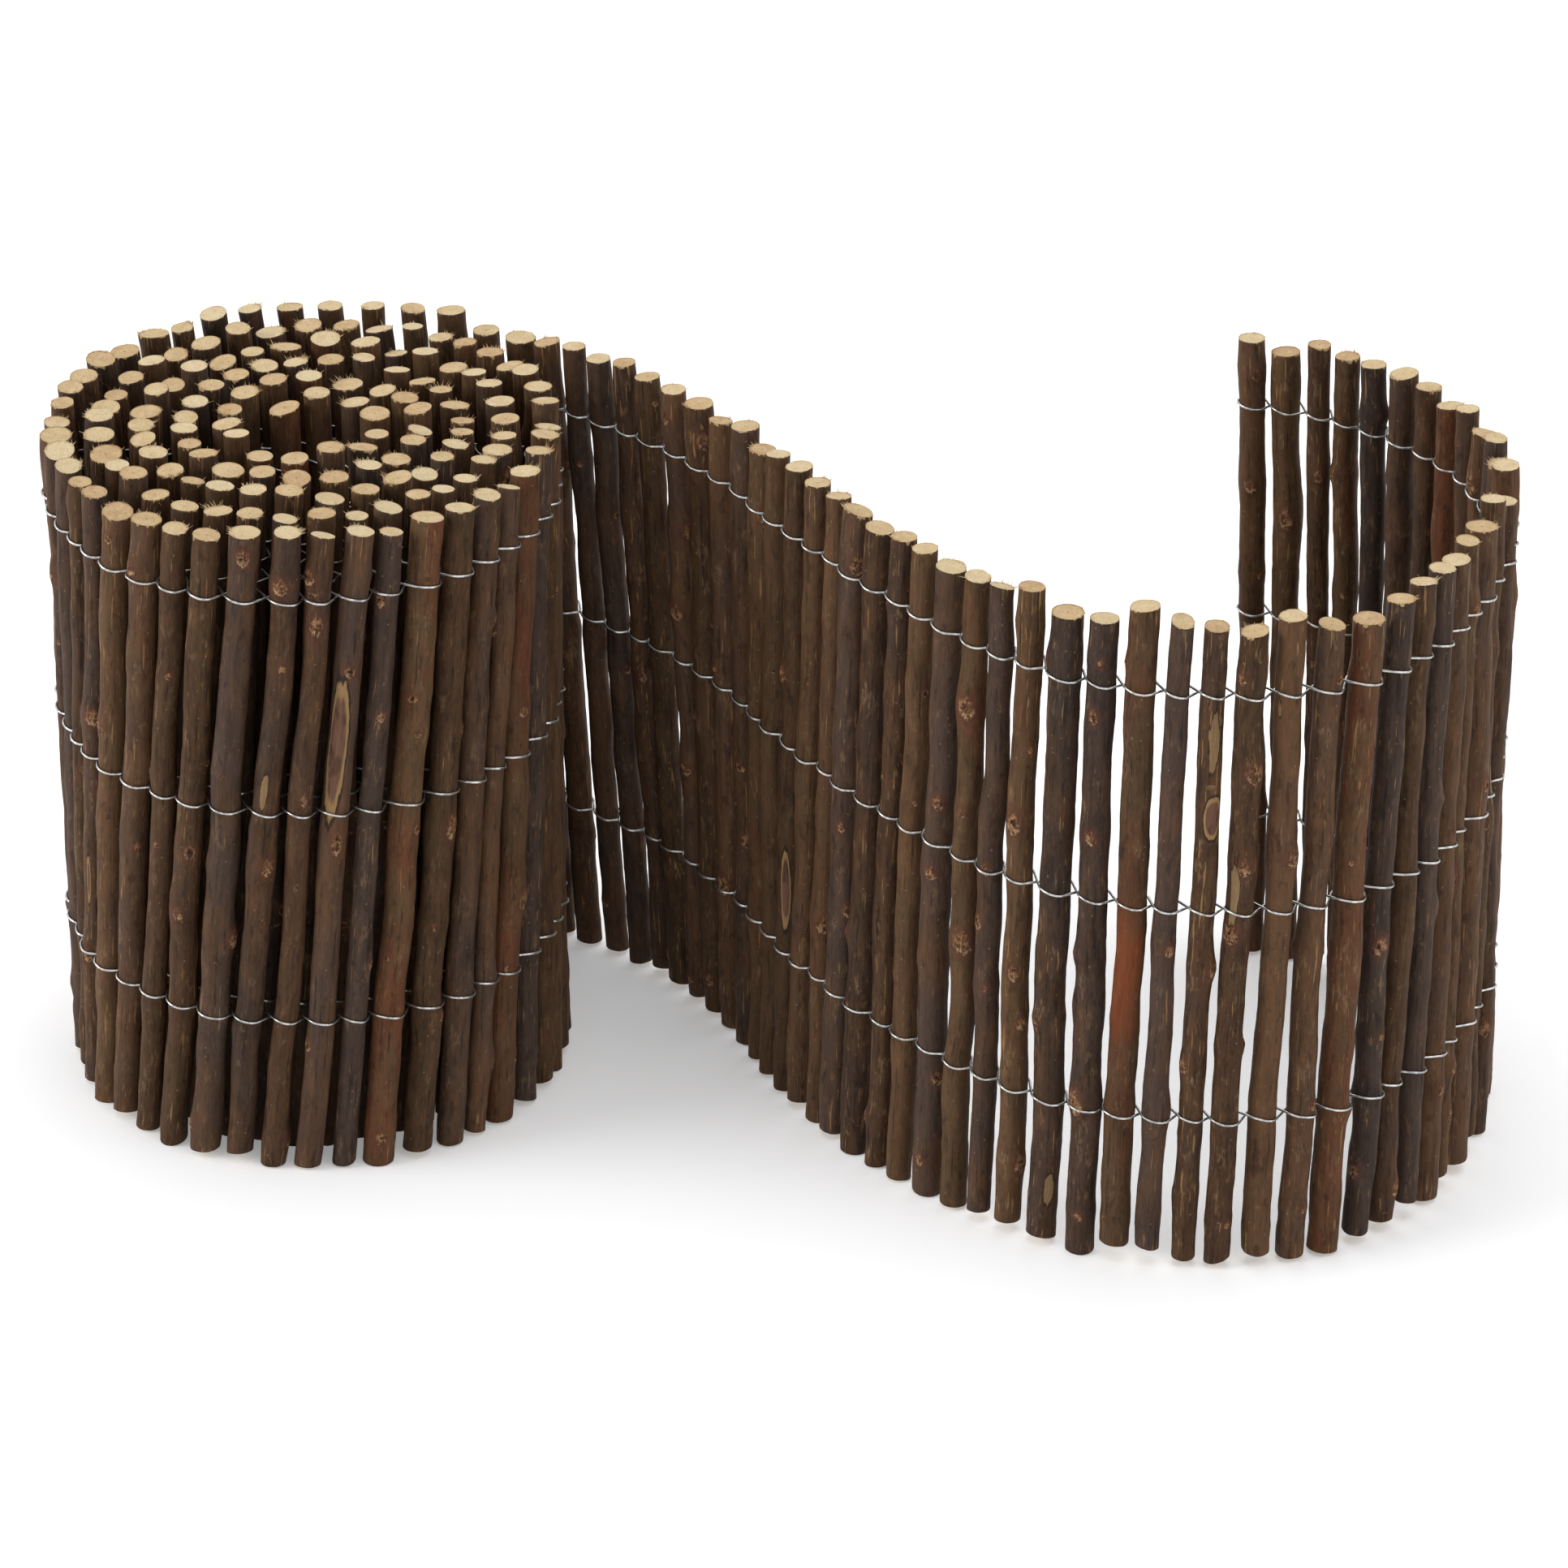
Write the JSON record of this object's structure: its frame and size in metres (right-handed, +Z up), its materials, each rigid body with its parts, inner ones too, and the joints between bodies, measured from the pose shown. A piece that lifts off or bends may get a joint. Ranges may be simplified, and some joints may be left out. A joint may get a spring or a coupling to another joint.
{
  "type": "willow edging roll",
  "caption": "Roll of upright brown willow rods bound by three rows of twisted wire, partly unrolled from a coil into an open hook.",
  "frame": {"origin": "on the floor at the middle of the footprint of the standing roll", "axes": "+X along the longest side, from the coil to the open hook; +Y to the back; +Z up along the rods"},
  "size_m": [0.6312, 0.3398, 0.3091],
  "materials": {
    "bark": "dull, dried brown bark",
    "wire": "bright galvanised"
  },
  "bodies": {
    "root": {"coil_turn_1_rods": "bark", "coil_turn_2_rods": "bark", "coil_turn_3_rods": "bark", "coil_turn_4_rods": "bark", "coil_turn_5_rods": "bark", "lead_off_rods": "bark", "diagonal_rods": "bark", "sweep_rods": "bark", "front_bend_rods": "bark", "side_rods": "bark", "tail_rods": "bark", "lower_wire_first_strand": "wire", "lower_wire_second_strand": "wire", "middle_wire_first_strand": "wire", "middle_wire_second_strand": "wire", "upper_wire_first_strand": "wire", "upper_wire_second_strand": "wire"}
  },
  "joints": []
}
